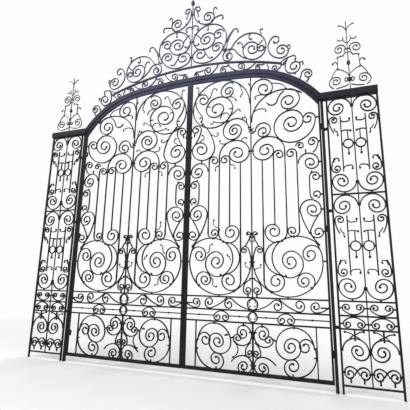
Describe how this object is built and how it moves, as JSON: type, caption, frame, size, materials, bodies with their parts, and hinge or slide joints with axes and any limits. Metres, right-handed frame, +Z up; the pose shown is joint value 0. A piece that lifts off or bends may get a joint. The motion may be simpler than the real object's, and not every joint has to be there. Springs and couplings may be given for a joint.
{
  "type": "wrought iron driveway gate",
  "caption": "Double-leaf wrought iron driveway gate under a low arch, filled with scrollwork, with a scrolled crest and a narrow fixed panel at each side.",
  "frame": {"origin": "centre of the left gate post's foot, at ground level", "axes": "+X right along the gate seen from its front, +Y away from the viewer to the side the leaves open to, +Z up"},
  "size_m": [5.4, 0.125, 6.18],
  "materials": {
    "frame_iron": "weathered black paint",
    "scroll_iron": "weathered black paint",
    "hinge_iron": "worn black paint"
  },
  "bodies": {
    "fixed_frame": {"post_left": "frame_iron", "post_right": "frame_iron", "arch": "frame_iron", "arch_scrolls": "scroll_iron", "slim_arch": "frame_iron", "middle_finial": "scroll_iron", "crest_scrolls_left": "scroll_iron", "crest_scrolls_right": "scroll_iron", "head_left": "frame_iron", "head_right": "frame_iron", "panel_stiles_left": "frame_iron", "panel_stiles_right": "frame_iron", "panel_rails_left": "frame_iron", "panel_rails_right": "frame_iron", "panel_scrolls_left": "scroll_iron", "panel_scrolls_right": "scroll_iron", "panel_finial_left": "scroll_iron", "panel_finial_right": "scroll_iron", "hinge_pins_left": "hinge_iron", "hinge_pins_right": "hinge_iron"},
    "left_leaf": {"hinge_stile_left": "frame_iron", "meeting_stile_left": "frame_iron", "top_rail_left": "frame_iron", "cross_rails_left": "frame_iron", "upright_bars_left": "scroll_iron", "upper_scrolls_left": "scroll_iron", "lower_scrolls_left": "scroll_iron", "scroll_band_left": "scroll_iron", "ring_band_left": "scroll_iron", "bottom_scrolls_left": "scroll_iron", "hinge_eyes_left": "hinge_iron"},
    "right_leaf": {"hinge_stile_right": "frame_iron", "meeting_stile_right": "frame_iron", "top_rail_right": "frame_iron", "cross_rails_right": "frame_iron", "upright_bars_right": "scroll_iron", "upper_scrolls_right": "scroll_iron", "lower_scrolls_right": "scroll_iron", "scroll_band_right": "scroll_iron", "ring_band_right": "scroll_iron", "bottom_scrolls_right": "scroll_iron", "hinge_eyes_right": "hinge_iron"}
  },
  "joints": [
    {"name": "left_leaf_hinge", "type": "hinge", "parent": "fixed_frame", "child": "left_leaf", "pos_m": [0.022, 0.06, 0.42], "axis": [0, 0, 1], "range_deg": [0, 90]},
    {"name": "right_leaf_hinge", "type": "hinge", "parent": "fixed_frame", "child": "right_leaf", "pos_m": [3.952, 0.06, 0.42], "axis": [0, 0, -1], "range_deg": [0, 90]}
  ]
}
